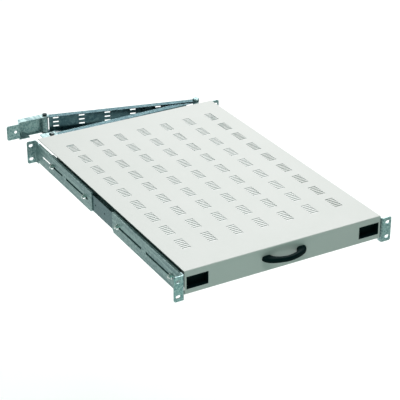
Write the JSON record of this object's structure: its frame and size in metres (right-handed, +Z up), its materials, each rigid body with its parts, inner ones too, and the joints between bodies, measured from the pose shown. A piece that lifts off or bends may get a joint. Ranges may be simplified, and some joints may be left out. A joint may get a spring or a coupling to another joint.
{
  "type": "sliding rack shelf",
  "caption": "Pull-out equipment shelf for racks: vented deck on telescopic slides between depth-adjusting brackets, with a bow handle and a folding cable arm behind.",
  "frame": {"origin": "centre of the four front rack holes, on the front face of the rack flanges", "axes": "+X to the right seen from the front, +Y back into the rack, +Z up"},
  "size_m": [0.4943, 0.8125, 0.0581],
  "materials": {
    "deck_coat": "fine light grey powder coat",
    "zinc_sheet": "blue zinc plate",
    "slide_steel": "zinc plate, rolled",
    "cage_steel": "bare strip",
    "bright_fastener": "bright zinc",
    "dark_fastener": "black oxide",
    "handle_plastic": "moulded black",
    "glide_plastic": "natural nylon",
    "bumper_rubber": "moulded"
  },
  "bodies": {
    "rack_rails": {"left_front_bracket": "zinc_sheet", "left_rear_bracket": "zinc_sheet", "left_rail_studs": "bright_fastener", "left_outer_slide": "slide_steel", "left_slide_bumper": "bumper_rubber", "right_front_bracket": "zinc_sheet", "right_rear_bracket": "zinc_sheet", "right_rail_studs": "bright_fastener", "right_outer_slide": "slide_steel", "right_slide_bumper": "bumper_rubber", "arm_rack_bracket": "zinc_sheet", "rack_pivot_bolt": "dark_fastener", "rack_pivot_barrel": "bright_fastener"},
    "shelf": {"shelf_tray": "deck_coat", "pull_handle": "handle_plastic", "arm_lug": "zinc_sheet", "left_inner_slide": "slide_steel", "left_slide_carrier": "deck_coat", "left_deck_stiffener": "deck_coat", "left_window_cup": "handle_plastic", "right_inner_slide": "slide_steel", "right_slide_carrier": "deck_coat", "right_deck_stiffener": "deck_coat", "right_window_cup": "handle_plastic"},
    "rear_cable_arm": {"cable_rear_arm": "zinc_sheet", "elbow_bolt": "bright_fastener", "elbow_barrel": "bright_fastener"},
    "front_cable_arm": {"cable_front_arm": "zinc_sheet", "shelf_pin": "dark_fastener"},
    "left_middle_member": {"left_middle_slide": "slide_steel"},
    "left_outer_runner": {"left_outer_cage": "cage_steel", "left_outer_glides": "glide_plastic"},
    "left_inner_runner": {"left_inner_cage": "cage_steel", "left_inner_glides": "glide_plastic"},
    "right_middle_member": {"right_middle_slide": "slide_steel"},
    "right_outer_runner": {"right_outer_cage": "cage_steel", "right_outer_glides": "glide_plastic"},
    "right_inner_runner": {"right_inner_cage": "cage_steel", "right_inner_glides": "glide_plastic"}
  },
  "joints": [
    {"name": "shelf_travel", "type": "slide", "parent": "rack_rails", "child": "shelf", "axis": [0, -1, 0], "range_m": [0, 0.48]},
    {"name": "left_middle_member_travel", "type": "slide", "parent": "rack_rails", "child": "left_middle_member", "axis": [0, -1, 0], "range_m": [0, 0.24]},
    {"name": "left_outer_runner_travel", "type": "slide", "parent": "rack_rails", "child": "left_outer_runner", "axis": [0, -1, 0], "range_m": [0, 0.12]},
    {"name": "left_inner_runner_travel", "type": "slide", "parent": "rack_rails", "child": "left_inner_runner", "axis": [0, -1, 0], "range_m": [0, 0.36]},
    {"name": "right_middle_member_travel", "type": "slide", "parent": "rack_rails", "child": "right_middle_member", "axis": [0, -1, 0], "range_m": [0, 0.24]},
    {"name": "right_outer_runner_travel", "type": "slide", "parent": "rack_rails", "child": "right_outer_runner", "axis": [0, -1, 0], "range_m": [0, 0.12]},
    {"name": "right_inner_runner_travel", "type": "slide", "parent": "rack_rails", "child": "right_inner_runner", "axis": [0, -1, 0], "range_m": [0, 0.36]},
    {"name": "rear_arm_swing", "type": "hinge", "parent": "rack_rails", "child": "rear_cable_arm", "pos_m": [-0.15, 0.78, 0], "axis": [0, 0, 1], "range_deg": [-40.5, 0]},
    {"name": "elbow_fold", "type": "hinge", "parent": "rear_cable_arm", "child": "front_cable_arm", "pos_m": [0.194, 0.693, 0], "axis": [0, 0, 1], "range_deg": [0, 90.1]}
  ],
  "couplings": [
    {"joint": "left_middle_member_travel", "follows": "shelf_travel", "ratio": 0.5},
    {"joint": "left_outer_runner_travel", "follows": "shelf_travel", "ratio": 0.25},
    {"joint": "left_inner_runner_travel", "follows": "shelf_travel", "ratio": 0.75},
    {"joint": "right_middle_member_travel", "follows": "shelf_travel", "ratio": 0.5},
    {"joint": "right_outer_runner_travel", "follows": "shelf_travel", "ratio": 0.25},
    {"joint": "right_inner_runner_travel", "follows": "shelf_travel", "ratio": 0.75},
    {"joint": "rear_arm_swing", "follows": "shelf_travel", "rad_per_m": -1.4714},
    {"joint": "elbow_fold", "follows": "shelf_travel", "rad_per_m": 3.2734}
  ]
}
